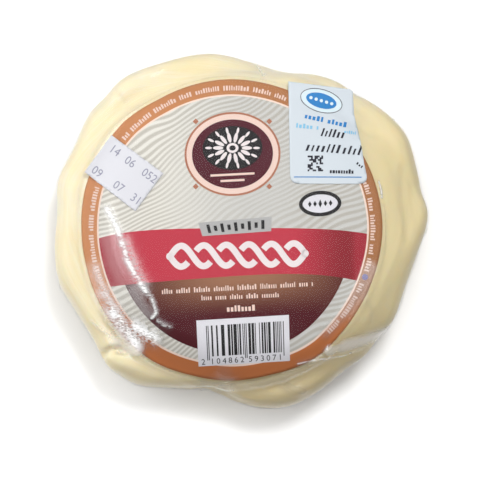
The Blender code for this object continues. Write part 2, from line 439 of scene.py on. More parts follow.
def cheeseMaterial():
    s = cheeseSettings
    material, tree, surface = startMaterial("string_cheese")
    place = objectPlace(tree)
    lay = addNode(tree, "Attribute", attribute_name="lay").outputs["Fac"]
    strands = noiseValue(place, 28.0, 3.0, 0.6, calc("MULTIPLY", lay, 0.32))
    threads = noiseValue(place, 60.0, 4.0, 0.65, calc("MULTIPLY", lay, 1.5))
    clouds = noiseValue(place, 30.0, 2.0, 0.5)
    tone = mapRange(weigh((strands, 0.55), (threads, 0.2), (clouds, 0.35)), 0.4, 0.7)
    cheeseColour = blendColours(tone, s["paleColour"], s["deepColour"])
    # painted shade: the side away from the light is deeper in colour, and the bottom deeper still
    x, y, _ = addNode(tree, "SeparateXYZ", {"Vector": place}).outputs
    aside = weigh((x, 0.85), (y, -0.5))
    shadedSide = blendColours(mapRange(aside, *s["shadedSideBand"]), cheeseColour, s["shadedSideColour"])
    lowShade = mapRange(weigh((x, 0.25), (y, -1.0)), *s["lowShadeBand"])
    height = weigh((threads, 0.7), (strands, 0.6))
    bump = addNode(tree, "Bump", {"Height": height, "Strength": 0.35, "Distance": 0.5 * mm})
    feed(surface, {
        "Base Color": blendColours(lowShade, shadedSide, s["lowShadeColour"]),
        "Roughness": mapRange(threads, 0.3, 0.7, 0.36, 0.55), "Normal": bump.outputs[0],
        "Subsurface Weight": s["glow"], "Subsurface Radius": s["glowRadius"],
        "Subsurface Scale": s["glowDepth"], "Specular IOR Level": 0.3})
    return material


cheese = makeCheese()
finishPiece(cheese, cheeseMaterial(), "cheese_in_film", "cheese_pack")
cheeseTree = treeOf(cheese)
print("cheese:", len(cheese.data.polygons), "faces")


# round label

labelSettings = {
    "centre": (-2.9 * mm, -1.08 * mm), "radius": 54.4 * mm,
    "rings": 40, "ringSpread": 0.8, "steps": 160, "edgeBand": (0.75, 1.0),
    "lift": 0.25 * mm, "thickness": 0.12 * mm, "relaxSteps": 5, "sink": 0.1 * mm, "stand": 0.5 * mm,
    # the print, in millimetres from the middle of the paper
    "ringCentre": (0.5, -0.6, 0.0), "ringInner": 49.0, "lineInner": 48.35,
    "lowerField": 42.5, "lowerCentre": (0.6, -3.0, 0.0), "badgeCentre": (0.0, 14.0, 0.0),
    "ribbonTop": (-0.63, 0.0042, -0.000116, 4.8e-06, -4.2e-07),
    "ribbonFoot": (-17.92, 0.0669, -0.000652, -2.2e-05, -2.9e-07),
    "linePitch": 2.1, "lineTilt": -0.55, "lineWarp": 0.03, "lineSwing": 20.0,
    # where one colour passes into another
    "lineFade": (14.0, 34.0, 0.36, 0.72), "fieldShade": (-30.0, 8.0),
    "warmMiddle": 4.0, "warmAside": (46.0, 4.0), "warmDown": (15.0, 0.0),
    # the ribbon's darker ends: partly print, partly painted shade of a fold near the right end and of the
    # paper beyond the film's crease at the left end
    "ribbonSlant": 0.37, "leftEndPrintAndShade": (-40.5, -43.0, 0.0, 0.45),
    "rightEndPrintAndShade": ((20.0, 41.5), (42.5, 45.5, 1.0, 0.6)),
    # painted shade: the ring darkens towards the right and towards the bottom
    "ringShade": (-50.0, 50.0), "ringLowShade": (-22.0, -40.0),
    # the second and third orange are the ring's painted shade
    "orange": colour(0.61, 0.27, 0.12), "orangeInShade": colour(0.41, 0.18, 0.075),
    "orangeLowShade": colour(0.53, 0.175, 0.057), "cream": colour(0.9, 0.72, 0.62),
    # painted shade: the field's second colour darkens it towards the right
    "field": colour(0.79, 0.77, 0.71), "fieldInShade": colour(0.615, 0.61, 0.585),
    "fieldLine": colour(0.44, 0.41, 0.355), "brown": colour(0.33, 0.155, 0.085),
    # the ribbon's end colour is partly print, partly painted shade
    "ribbon": colour(0.52, 0.039, 0.066), "ribbonEndPrintAndShade": colour(0.26, 0.02, 0.03),
    "darkRed": colour(0.066, 0.003, 0.008),
}
uvSpan = 0.12  # width of paper that the label's UV square holds, in metres

# how far the paper's edge stands out of a true circle, in millimetres by direction in degrees
edgeWander = {
    0: 0.05, 15: -0.05, 75: -0.15, 90: 0.1, 105: 0.05, 120: -0.15, 135: 1.1, 165: 0.6, 180: -0.15, 195: -0.3,
    210: 0.3, 240: 1.2, 255: 0.4, 270: 0.5, 285: 0.3, 300: 1.3, 306: 1.3, 315: 0.5, 327: -0.1, 345: -0.2,
    360: 0.05}


def makeLabel():
    s = labelSettings
    bm = bmesh.new()
    places = np.linspace(0, 1, s["rings"] + 1) ** s["ringSpread"] * s["radius"]
    spoke = [bm.verts.new((place, 0, 0)) for place in places]
    edges = [bm.edges.new(pair) for pair in zip(spoke, spoke[1:])]
    bmesh.ops.spin(bm, geom=spoke + edges, cent=(0, 0, 0), axis=(0, 0, 1), angle=math.tau,
                   steps=s["steps"], use_merge=True)
    bmesh.ops.remove_doubles(bm, verts=bm.verts, dist=0.01 * mm)
    flat = bm.loops.layers.uv.new("paper")
    for face in bm.faces:
        for loop in face.loops:
            loop[flat].uv = (loop.vert.co.x / uvSpan + 0.5, loop.vert.co.y / uvSpan + 0.5)
    angles, wander = list(edgeWander), list(edgeWander.values())
    for v in bm.verts:
        reach = v.co.xy.length
        around = math.degrees(math.atan2(v.co.y, v.co.x)) % 360
        drift = np.interp(around, angles, wander) * mm * smoothStep(*s["edgeBand"], reach / s["radius"])
        v.co.xy *= 1 + drift / max(reach, mm)
        v.co.xy += Vector(s["centre"])
        v.co.z = skinTree.ray_cast(Vector((*v.co.xy, 0.2)), Vector((0, 0, -1)))[0].z
    low = {v: v.co.z for v in bm.verts}
    for _ in range(s["relaxSteps"]):
        bmesh.ops.smooth_vert(bm, verts=bm.verts, factor=0.5, use_axis_z=True)
    for v in bm.verts:
        v.co.z = min(max(v.co.z, low[v] - s["sink"]), low[v] + s["stand"]) + s["lift"]
    bmesh.ops.recalc_face_normals(bm, faces=bm.faces)
    if sum(f.normal.z for f in bm.faces) < 0:
        bmesh.ops.reverse_faces(bm, faces=bm.faces)
    return pieceFrom(bm, "paper_label")


def curveOf(x, factors):
    # height of a printed edge over x, as a polynomial
    height = factors[-1]
    for factor in reversed(factors[:-1]):
        height = calc("MULTIPLY_ADD", x, height, factor)
    return height


def labelMaterial():
    s = labelSettings
    material, tree, surface = startMaterial("printed_label")
    uv = addNode(tree, "UVMap", uv_map="paper").outputs[0]
    span = uvSpan / mm
    place = addNode(tree, "Mapping", {"Vector": uv, "Location": (-span / 2, -span / 2, 0),
                                      "Scale": (span, span, 1)}).outputs[0]
    x, y, _ = addNode(tree, "SeparateXYZ", {"Vector": place}).outputs

    # pale field with wavy lines, fainter round the badge, and painted shade that darkens it towards the right
    warp = noiseValue(place, s["lineWarp"], 1.0, 0.4)
    tilted = calc("MULTIPLY_ADD", x, s["lineTilt"], y)
    waved = calc("MULTIPLY_ADD", warp, s["lineSwing"], tilted)
    wave = calc("SINE", calc("MULTIPLY", waved, math.tau / s["linePitch"]))
    strength = mapRange(distanceTo(place, s["badgeCentre"]), *s["lineFade"])
    plain = blendColours(mapRange(x, *s["fieldShade"]), s["field"], s["fieldInShade"])
    base = blendColours(calc("MULTIPLY", mapRange(wave, -0.9, 0.9), strength), plain, s["fieldLine"])

    # dark lower field, warmer under the middle of the ribbon
    below = calc("SUBTRACT", curveOf(x, s["ribbonFoot"]), y)
    side = calc("ABSOLUTE", calc("SUBTRACT", x, s["warmMiddle"]))
    warmth = calc("MULTIPLY", mapRange(below, *s["warmDown"]), mapRange(side, *s["warmAside"]))
    lower = blendColours(warmth, s["darkRed"], s["brown"])
    inField = calc("LESS_THAN", distanceTo(place, s["lowerCentre"]), s["lowerField"])
    base = blendColours(calc("MULTIPLY", inField, calc("GREATER_THAN", below, 0.0)), base, lower)

    # ribbon with darker ends, partly the print's own shading and partly painted shade: a fold's shade near
    # the right end, the paper's shade beyond the film's crease at the left end
    underTop = calc("LESS_THAN", y, curveOf(x, s["ribbonTop"]))
    inRibbon = calc("MULTIPLY", underTop, calc("LESS_THAN", below, 0.0))
    slanted = calc("MULTIPLY_ADD", y, s["ribbonSlant"], x)
    right = calc("MINIMUM", *(mapRange(x, *part) for part in s["rightEndPrintAndShade"]))
    ends = calc("MAXIMUM", right, mapRange(slanted, *s["leftEndPrintAndShade"]))
    base = blendColours(inRibbon, base, blendColours(ends, s["ribbon"], s["ribbonEndPrintAndShade"]))

    # ring and the thin line inside it; painted shade darkens the ring towards the right and towards the
    # bottom
    reach = distanceTo(place, s["ringCentre"])
    base = blendColours(calc("GREATER_THAN", reach, s["lineInner"]), base, s["cream"])
    ring = blendColours(mapRange(x, *s["ringShade"]), s["orange"], s["orangeInShade"])
    ring = blendColours(mapRange(y, *s["ringLowShade"]), ring, s["orangeLowShade"])
    base = blendColours(calc("GREATER_THAN", reach, s["ringInner"]), base, ring)
    coverWithPaper(tree, surface, base, 0.1, 0.4, 0.25, 0.05)
    return material


label = makeLabel()
finishPiece(label, labelMaterial(), "label_paper", "round_label")
labelTree = treeOf(label)
giveBody(label, labelSettings["thickness"])
print("label:", len(label.data.polygons), "faces")


# print, drawn flat in photograph pixels and laid on the paper

def addPatch(ink, points, lift):
    ink.faces.new([ink.verts.new((x, y, lift)) for x, y in points])


def addDiamond(ink, x, y, wide, tall, lift):
    addPatch(ink, [(x - wide, y), (x, y - tall), (x + wide, y), (x, y + tall)], lift)


def addBox(ink, corners, left, top, right, foot, lift):
    # a box inside four corners, in shares of their width and height
    shares = (left, top), (right, top), (right, foot), (left, foot)
    addPatch(ink, [across(corners, *share) for share in shares], lift)


def across(corners, u, v):
    a, b, c, d = (Vector(p) for p in corners)
    return a.lerp(b, u).lerp(d.lerp(c, u), v)


def addDisc(ink, centre, size, lift, turn, segments, band=0):
    place = (Matrix.Translation((*centre, lift)) @ Matrix.Rotation(math.radians(turn), 4, "Z")
             @ Matrix.Diagonal((size[0], size[1], 1, 1)))
    made = bmesh.ops.create_circle(ink, cap_ends=True, radius=1, segments=segments, matrix=place)
    face = made["verts"][0].link_faces[0]
    if band:
        bmesh.ops.inset_individual(ink, faces=[face], thickness=band)
        bmesh.ops.delete(ink, geom=[face], context="FACES_ONLY")


def addStroke(ink, points, width, lift):
    # a short edge is extruded from point to point
    points = [Vector(p) for p in points]
    for i, p in enumerate(points):
        along = (points[min(i + 1, len(points) - 1)] - points[max(i - 1, 0)]).normalized()
        side = Vector((-along.y, along.x)) * width / 2
        if i == 0:
            left = ink.verts.new((*(p + side), lift))
            right = ink.verts.new((*(p - side), lift))
            edge = ink.edges.new((left, right))
            continue
        made = bmesh.ops.extrude_edge_only(ink, edges=[edge])["geom"]
        edge = next(g for g in made if isinstance(g, bmesh.types.BMEdge))
        ends = list(edge.verts)
        if (ends[0].co - left.co).length > (ends[1].co - left.co).length:
            ends.reverse()
        left, right = ends
        left.co, right.co = (*(p + side), lift), (*(p - side), lift)


def addNumbers(ink, words, centre, height, lift, turn, stretch=1):
    curve = bpy.data.curves.new("numbers", "FONT")
    curve.body = words
    curve.align_x, curve.align_y = "CENTER", "CENTER"
    curve.resolution_u = 3
    obj = linkPiece("numbers", curve)
    graph = bpy.context.evaluated_depsgraph_get()
    mesh = bpy.data.meshes.new_from_object(obj.evaluated_get(graph))
    ys = [v.co.y for v in mesh.vertices]
    size = height / (max(ys) - min(ys))
    mesh.transform(Matrix.Translation((*centre, lift)) @ Matrix.Rotation(math.radians(turn), 4, "Z")
                   @ Matrix.Diagonal((size * stretch, -size, 1, 1))
                   @ Matrix.Translation((0, -(max(ys) + min(ys)) / 2, 0)))
    ink.from_mesh(mesh)
    bpy.data.objects.remove(obj)
    bpy.data.meshes.remove(mesh)


def addGlyphRow(ink, start, end, height, lift, seed, width=(0.9, 1.7), gap=1, wordGap=3, lean=0):
    # a row of small upright marks in groups
    draw = random.Random(seed)
    start, end = Vector(start), Vector(end)
    along = (end - start).normalized()
    up = Vector((along.y, -along.x))
    at, inWord = 0, draw.randint(4, 9)
    while at < (end - start).length:
        wide = draw.uniform(*width)
        tall = height * draw.choice((0.72, 0.72, 1))
        foot = start + along * at
        side, rise = along * wide, up * tall + along * lean * tall
        addPatch(ink, [foot, foot + side, foot + side + rise, foot + rise], lift)
        at += wide + gap
        inWord -= 1
        if inWord == 0:
            at += wordGap
            inWord = draw.randint(4, 9)


rimHeight = 27 * mm


def layInk(ink, name, carrier, material, slotName, clear=0, step=4):
    # the flat print is cut into small fields, then sent along the camera's sight lines onto its carrier
    for axis, normal in ((0, (1, 0, 0)), (1, (0, 1, 0))):
        places = [v.co[axis] for v in ink.verts]
        at, high = min(places) + step, max(places)
        while at < high:
            bmesh.ops.bisect_plane(ink, geom=ink.verts[:] + ink.edges[:] + ink.faces[:], dist=1e-4,
                                   plane_co=Vector(normal) * at, plane_no=normal)
            at += step
    for v in ink.verts:
        ray = sightLine(v.co.x, v.co.y)
        hit, normal = carrier.ray_cast(cameraPlace, ray)[:2]
        if hit is None:  # past the rim: the nearest place on it
            level = cameraPlace + ray * ((cameraPlace.z - rimHeight) / -ray.z)
            hit, normal = carrier.find_nearest(level)[:2]
        v.co = hit + normal * (clear + v.co.z * mm)
    ink.normal_update()
    bmesh.ops.reverse_faces(ink, faces=[f for f in ink.faces if f.normal.z < 0])
    obj = pieceFrom(ink, name)
    finishPiece(obj, material, slotName)
    return obj


ringPrint = {
    "centre": (232, 229), "radius": 141, "height": 4.8, "start": -47, "end": 222, "skip": (-23, -17.5),
    "mark": (1.2, 2.2), "gap": 1, "wordGap": 3.4,
}


def drawRingMarks(ink):
    s = ringPrint
    draw = random.Random(11)
    at, inWord = s["start"], 6
    perPixel = math.degrees(1 / s["radius"])
    while at < s["end"]:
        if s["skip"][0] < at < s["skip"][1]:  # room for the small dot
            at, inWord = s["skip"][1], 5
        wide = draw.uniform(*s["mark"])
        tall = s["height"] * draw.choice((0.75, 1, 1))
        corners = []
        for reach, turn in ((0, 0), (0, wide), (tall, wide), (tall, 0)):
            angle = math.radians(at + turn * perPixel)
            distance = s["radius"] - s["height"] / 2 + reach
            corners.append((s["centre"][0] + distance * math.cos(angle),
                            s["centre"][1] - distance * math.sin(angle)))
        addPatch(ink, corners, 0.03)
        inWord -= 1
        at += (wide + s["gap"] + (s["wordGap"] if inWord == 0 else 0)) * perPixel
        if inWord == 0:
            inWord = draw.randint(3, 10)


braid = {
    "left": 170, "right": 305, "middle": 256.5, "rise": 3, "swing": 10.4, "twists": 6,
    "width": 6.4, "gap": 3.6, "step": 0.9,
}


def drawBraid(ink):
    # two strands that cross over and under each other, joined at both ends
    s = braid
    pitch = (s["right"] - s["left"]) / s["twists"]
    for strand in (0, 1):
        run = []
        for x in np.arange(s["left"], s["right"] + 0.1, s["step"]):
            turnAt = (x - s["left"]) / pitch
            crossing = round(turnAt)
            hidden = (crossing % 2 == strand and 0 < crossing < s["twists"]
                      and abs(turnAt - crossing) * pitch < s["gap"])
            if not hidden:
                swing = s["swing"] * math.sin(math.pi * turnAt) * (1 if strand else -1)
                run.append((x, s["middle"] - s["rise"] * turnAt / s["twists"] + swing))
            if (hidden or x + s["step"] > s["right"]) and len(run) > 1:
                addStroke(ink, run, s["width"], 0.05)
                run = []
    for x, y in ((s["left"], s["middle"]), (s["right"], s["middle"] - s["rise"])):
        addDisc(ink, (x, y), (s["width"] * 0.6, s["width"] * 0.6), 0.05, 0, 20)


badge = {
    "centre": (232.5, 154), "outer": (48, 42), "turn": -3,
    "ovals": (("copper", 0, 0.03), ("cream", 2, 0.045), ("maroon", 7.5, 0.06)),
    "ground": (30, 22), "groundRise": 6, "petals": 14, "petalEnd": 14,
    "petalRings": ((0.48, (5.2, 1.9)), (0.8, (3.4, 1.3))),
    "strokes": ((20.5, 22), (26.5, 12)), "diamonds": 4,
}


def drawBadge(inks):
    s = badge
    cx, cy = s["centre"]
    wide, high = s["outer"]
    middle = (cx, cy - s["groundRise"])
    for name, inset, lift in s["ovals"]:
        addDisc(inks[name], (cx, cy), (wide - inset, high - inset), lift, s["turn"], 72)
    addDisc(inks["black"], middle, s["ground"], 0.075, s["turn"], 60)
    for k in range(s["petals"]):
        angle = math.tau * k / s["petals"]
        for reach, size in s["petalRings"]:
            at = (middle[0] + s["ground"][0] * reach * math.cos(angle),
                  middle[1] + s["ground"][1] * reach * math.sin(angle))
            if at[1] < cy + s["petalEnd"]:
                addDisc(inks["white"], at, size, 0.09, math.degrees(angle), 16)
    addDisc(inks["white"], middle, (6, 5), 0.09, s["turn"], 24)
    addDisc(inks["black"], middle, (3.2, 2.6), 0.105, s["turn"], 20)
    for down, half in s["strokes"]:
        line = [(cx + half * i / 4, cy + down - half * i / 76) for i in range(-4, 5)]
        addStroke(inks["cream"], line, 2.2, 0.075)
    for k in range(s["diamonds"]):
        angle = math.tau * (k + 0.5) / s["diamonds"]
        x, y = cx + (wide + 4) * math.cos(angle), cy + (high + 4) * math.sin(angle)
        addDiamond(inks["copper"], x, y, 3, 3, 0.03)


codePanel = {
    "corners": ((196.3, 320.5), (288.9, 314.8), (290, 360.8), (198.6, 366.5)),
    "bars": (0.1, 0.95), "top": 0.13, "foot": 0.8, "guardFoot": 0.88, "modules": 95,
    "digits": "2104862593071",
}


def drawCodePanel(inks):
    s = codePanel
    addPatch(inks["panel"], s["corners"], 0.05)
    draw = random.Random(5)
    at, dark = 0, True
    left, right = s["bars"]
    while at < s["modules"]:
        guard = at < 3 or at > s["modules"] - 4 or 45 <= at < 49
        wide = 1 if guard else min(draw.choice((1, 1, 2, 2, 3, 4)), s["modules"] - at)
        if dark:
            u0, u1 = (left + (right - left) * k / s["modules"] for k in (at, at + wide))
            foot = s["guardFoot"] if guard else s["foot"]
            addBox(inks["black"], s["corners"], u0, s["top"], u1, foot, 0.07)
        at += wide
        dark = not dark
    for k, digit in enumerate(s["digits"]):
        # one digit before the bars, then two groups under them
        u = 0.055 if k == 0 else 0.155 + 0.065 * (k - 1) + (0.025 if k > 6 else 0)
        addNumbers(inks["black"], digit, across(s["corners"], u, 0.905), 5.6, 0.07, -3.6)


smallMarks = {
    "tab": ((198.2, 222.8), (271.6, 216.6), (271.2, 231.2), (202.4, 236.2)), "tabMarks": 9,
    "oval": (320.2, 203.6), "ovalSize": (21.2, 12.8), "ovalBand": 3.6,
    "dot": (365, 277),
    # start and end, height of the marks, seed, their least and most width, gap
    "rows": (((162, 294.2), (313, 286), 5.2, 3, (0.9, 1.7), 1),
             ((201.5, 300.4), (279, 297.2), 5, 4, (0.9, 1.7), 1),
             ((227, 311.8), (256, 310.6), 6, 6, (2, 2.8), 1.2)),
}


def drawSmallMarks(inks):
    s = smallMarks
    addPatch(inks["grey"], s["tab"], 0.06)
    for k in range(s["tabMarks"]):
        u = 0.12 + 0.095 * k
        half = 0.19 if k % 2 else 0.31
        addBox(inks["black"], s["tab"], u - 0.022, 0.5 - half, u + 0.022, 0.5 + half, 0.08)
    addDisc(inks["panel"], s["oval"], s["ovalSize"], 0.05, -3, 48)
    addDisc(inks["black"], s["oval"], s["ovalSize"], 0.07, -3, 48, band=s["ovalBand"])
    for k in range(-2, 3):
        addDiamond(inks["black"], s["oval"][0] + 5.2 * k, s["oval"][1] - 0.3 * k, 1.8, 3 if k else 4.2, 0.07)
    addDisc(inks["violet"], s["dot"], (3, 3), 0.03, 0, 20)
    for start, end, height, seed, width, gap in s["rows"]:
        addGlyphRow(inks["cream"], start, end, height, 0.05, seed, width, gap)


inkColours = {
    "copper": (0.42, 0.17, 0.1), "cream": (0.83, 0.64, 0.56), "maroon": (0.075, 0.009, 0.018),
    "black": (0.012, 0.011, 0.012), "white": (0.82, 0.75, 0.75), "grey": (0.45, 0.445, 0.44),
    "panel": (0.745, 0.735, 0.775), "violet": (0.12, 0.1, 0.38),
}


def drawLabelPrint():
    inks = {name: bmesh.new() for name in inkColours}
    drawRingMarks(inks["cream"])
    drawBraid(inks["white"])
    drawBadge(inks)
    drawCodePanel(inks)
    drawSmallMarks(inks)
    for name, ink in inks.items():
        material = paperMaterial("ink_" + name, inkColours[name])
        layInk(ink, "print_" + name, labelTree, material, "label_paper")


drawLabelPrint()
print("label print laid")


# clear film

filmSettings = {
    "clear": 0.22 * mm, "overLabel": 0.24 * mm,
    "bridgeSteps": 26, "creaseShare": 0.7, "footing": 0.15 * mm,
    "drape": 4.0 * mm, "level": 0.9 * mm, "drapeSteps": 3,
    "fineNear": (1.8 * mm, 1.08 * mm),
    "hazeReach": 1.7, "webFade": (14 * mm, 29 * mm),
    "slack": (0.8 * mm, 2.6 * mm), "slackHaze": 0.3, "wrinkles": 46,
}

# folds in the film: points in photograph pixels, half width and height in millimetres, how white it scatters
folds = [
    ([(107, 209), (110.3, 214.6), (117.4, 227.9), (120.5, 238), (122.5, 245), (128, 260.8)], 0.85, 0.07, 1),
    ([(128, 260.8), (134.4, 273.6), (140.8, 283.8), (147.1, 292.7)], 0.8, 0.07, 1),
    ([(125, 240), (131, 256), (138, 272), (144, 283)], 1.3, 0.02, 0.35),
    ([(147.1, 292.7), (151, 296.5), (155.4, 309.3), (156, 313), (152.2, 318.2)], 0.45, 0.09, 0.8),
    ([(96, 270), (101, 283), (107, 296)], 1.8, 0.03, 0.36),
    ([(104, 293), (110, 305), (116, 315)], 2, 0.03, 0.62),
    ([(113, 311), (122, 325), (131, 335), (136, 340)], 2.3, 0.03, 1),
    ([(136, 327), (144, 333), (153, 337)], 2.2, 0.04, 1),
    ([(118, 320), (130, 327), (142, 334), (153, 338)], 0.35, 0.1, 0.7),
    ([(158, 321), (164, 325), (169, 327)], 0.6, 0.05, 0.45),
    ([(379, 182), (381, 189), (382, 197)], 0.35, 0.06, 0.8),
    ([(384, 205), (386, 228), (385, 250), (380, 272)], 0.5, 0.1, 0.08),
    ([(256, 64), (260, 70), (264, 76)], 0.5, 0.05, 0.35),
    ([(152, 77), (157, 74), (162, 70)], 0.5, 0.04, 0.15),
    ([(298, 363.6), (321, 358.8), (344, 355.9), (350, 353)], 0.28, 0.06, 0.5),
    ([(327.8, 345), (327, 349)], 0.2, 0.08, 0.85),
    ([(366, 300), (372, 310), (371, 322)], 0.9, 0.1, 0.1),
]

# places where the film stands off the cheese like a web: the same four values
webs = [
    ([(108, 236), (112, 254), (120, 274), (130, 291)], 3.4, 0.02, 0.1),
    ([(133, 291), (139, 303), (147, 314)], 2.3, 0.02, 0.2),
    ([(329, 351.5), (336, 348.5), (343, 346)], 2.1, 0.05, 0.44),
    ([(344, 345.5), (349, 344), (356, 342), (369, 338.5), (384, 331.5)], 3.1, 0.1, 0.52),
    ([(300, 363), (314, 360), (330, 356)], 1.6, 0.15, 0.12),
    ([(350, 353), (364, 348.3), (378, 341.6)], 0.5, 0.1, 0.2),
    ([(286, 384), (294, 389), (303, 391)], 2.6, 0.3, 0.18),
    ([(287, 383), (300, 374), (318, 364), (333, 358)], 0.6, 0.1, 0.14),
    ([(222, 390), (226, 380), (224, 368)], 3, 0.5, 0.12),
    ([(116, 344), (124, 349), (136, 350)], 2.8, 0.3, 0.42),
    ([(92, 322), (100, 328), (112, 338), (122, 344)], 0.9, 0.08, 0.3),
    ([(370, 268), (360, 290), (344, 314), (326, 333)], 2.4, 0, 0.19),
]


def sideWrinkles(tree, count, seed):
    # short wrinkles down the flanks and gathered underneath, where the film shrank most
    draw = random.Random(seed)
    made = []

    def add(rays, *spans):
        made.append((hitsOf(tree, rays), *(draw.uniform(*span) for span in spans)))

    for k in range(count):
        around = math.tau * (k + draw.uniform(-0.35, 0.35)) / count
        high, fall = draw.uniform(6, 26) * mm, draw.uniform(5, 12) * mm
        drift = draw.uniform(-0.09, 0.09)
        rays = []
        for t in (0, 0.33, 0.66, 1):
            angle = around + drift * t + 0.02 * math.sin(4 * t + k)
            out = Vector((math.cos(angle), math.sin(angle), 0))
            rays.append((out * 0.15 + Vector((0, 0, max(high - fall * t, 2 * mm))), -out))
        add(rays, (0.5, 0.9), (0.1, 0.28), (0.0, 0.25))
    for k in range(count):
        around = math.tau * (k + draw.uniform(-0.4, 0.4)) / count
        outer, inner = draw.uniform(40, 56) * mm, draw.uniform(12, 30) * mm
        rays = []
        for t in (0, 0.25, 0.5, 0.75, 1):
            angle = around + 0.16 * t * math.sin(k)
            reach = outer + (inner - outer) * t
            rays.append((Vector((reach * math.cos(angle), reach * math.sin(angle), -0.1)), Vector((0, 0, 1))))
        add(rays, (0.6, 1.1), (0.12, 0.32), (0.05, 0.3))
    return made


def drapeOverLabel(bm):
    # the film lies flat over the paper and runs down from its edge
    s = filmSettings
    centre, limit = Vector(labelSettings["centre"]), labelSettings["radius"] + s["drape"]
    near = [v for v in bm.verts if v.normal.z > 0.2 and (v.co.xy - centre).length < limit]
    for step in range(s["drapeSteps"] + 1):
        if step:
            bmesh.ops.smooth_vert(bm, verts=near, factor=0.5, use_axis_z=True)
        for v in near:
            paper = labelTree.find_nearest(v.co)[0]
            past = max(0, (v.co.xy - paper.xy).length - s["level"])
            v.co.z = max(v.co.z, paper.z + s["overLabel"] - past)


def refineAlong(bm, lines, reach):
    points = np.array([v.co for v in bm.verts])
    close = np.min([distanceFrom(line, points) for line in lines], axis=0)
    bm.verts.ensure_lookup_table()
    bm.verts.index_update()
    edges = [e for e in bm.edges if close[e.verts[0].index] < reach and close[e.verts[1].index] < reach]
    bmesh.ops.subdivide_edges(bm, edges=edges, cuts=1, use_grid_fill=True)


def makeFilm():
    s = filmSettings
    obj = linkPiece("clear_film", skin.data.copy())
    relax(obj, s["bridgeSteps"])
    outside = obj.modifiers.new("outside", "SHRINKWRAP")
    outside.target = skin
    outside.wrap_method = "NEAREST_SURFACEPOINT"
    outside.wrap_mode = "OUTSIDE"
    outside.offset = s["clear"]
    applyModifiers(obj)
    pressCreases(obj, s["creaseShare"])
    bm = bmesh.new()
    bm.from_mesh(obj.data)
    drapeOverLabel(bm)
    bm.to_mesh(obj.data)
    obj.data.update()

    tree = treeOf(obj)
    placedFolds = [(castLine(line, tree), *rest) for line, *rest in folds]
    placedWebs = [(castLine(line, tree), *rest) for line, *rest in webs]
    for reach in s["fineNear"]:
        refineAlong(bm, [line for line, *_ in placedFolds], reach)
    bmesh.ops.triangulate(bm, faces=[f for f in bm.faces if len(f.verts) > 4])
    bm.to_mesh(obj.data)
    bm.free()

    points, normals = readPoints(obj), readPoints(obj, "normal")
    rise, white, veil = (np.zeros(len(points)) for _ in range(3))
    for line, halfWidth, height, haze in placedFolds + sideWrinkles(tree, s["wrinkles"], 8):
        if len(line) > 1:
            far = distanceFrom(line, points)
            near, soft = fallOff(far, halfWidth * mm), fallOff(far, s["hazeReach"] * halfWidth * mm)
            rise += near * height * mm
            white = np.maximum(white, (near + soft) / 2 * haze)
    for line, halfWidth, height, haze in placedWebs:
        band = fallOff(distanceFrom(line, points), halfWidth * mm, 3)
        band *= smoothStep(*s["webFade"], points[:, 2])
        rise += band * height * mm
        veil = np.maximum(veil, band * haze)
    points += normals * rise[:, None]
    points[:, 2] = np.maximum(points[:, 2], s["footing"])
    writePoints(obj, points)

    gap = np.array([cheeseTree.find_nearest(Vector(p))[3] for p in points])
    reach = np.hypot(*(points[:, :2] - np.array(labelSettings["centre"])).T)
    lifted = smoothStep(*s["slack"], gap) * s["slackHaze"]
    lifted[(reach < labelSettings["radius"] + mm) & (normals[:, 2] > 0.2)] = 0
    writeValues(obj, "haze", np.clip(white, 0, 1))
    writeValues(obj, "lifted", np.maximum(lifted, veil))
    shadeSmooth(obj)
    return obj


def makeCrinkle():
    # uneven light over creased film
    tree, given, result = startGroup(
        "film_crinkle", {"Haze": "Float", "Lifted": "Float"}, {"White": "Float", "Height": "Float"})
    place = objectPlace(tree)
    turn = (0, 0, math.radians(56))  # along the folds
    drawn = addNode(tree, "Mapping", {"Vector": place, "Rotation": turn, "Scale": (0.3, 1, 1)})
    streaks = noiseValue(drawn.outputs[0], 1800.0, 3.0, 0.6)
    soft = noiseValue(place, 260.0, 2.0, 0.5)
    broken = mapRange(weigh((streaks, 0.6), (soft, 0.4)), 0.39, 0.56, 0.34, 1.2)
    rough = calc("MULTIPLY", streaks, given["Haze"])
    feed(result, {"White": calc("MULTIPLY_ADD", given["Haze"], broken, given["Lifted"]),
                        "Height": weigh((soft, 0.7), (rough, 0.2))})
    return tree


def filmMaterial():
    material, tree, surface = startMaterial("clear_film")
    given = {name.title(): addNode(tree, "Attribute", attribute_name=name).outputs["Fac"]
             for name in ("haze", "lifted")}
    crinkle = addNode(tree, "Group", given, node_tree=makeCrinkle()).outputs
    relief = {"Height": crinkle["Height"], "Strength": 0.25, "Distance": 0.4 * mm}
    bump = addNode(tree, "Bump", relief).outputs[0]
    sheen = addNode(tree, "Fresnel", {"IOR": 1.45, "Normal": bump}).outputs[0]
    gloss = calc("MINIMUM", calc("MULTIPLY_ADD", sheen, 1.1, -0.033), 0.3)
    feed(surface, {
        "Alpha": calc("MULTIPLY_ADD", crinkle["White"], 0.9, gloss, clamp=True), "Normal": bump,
        "Roughness": mapRange(crinkle["White"], 0.0, 0.5, 0.09, 0.85),
        "Base Color": colour(1, 1, 1), "Metallic": 1.0})
    return material


film = makeFilm()
finishPiece(film, filmMaterial(), "cheese_in_film", "cheese_pack")
filmTree = treeOf(film)
bpy.data.objects.remove(skin)
print("film:", len(film.data.polygons), "faces")


# stickers on the film

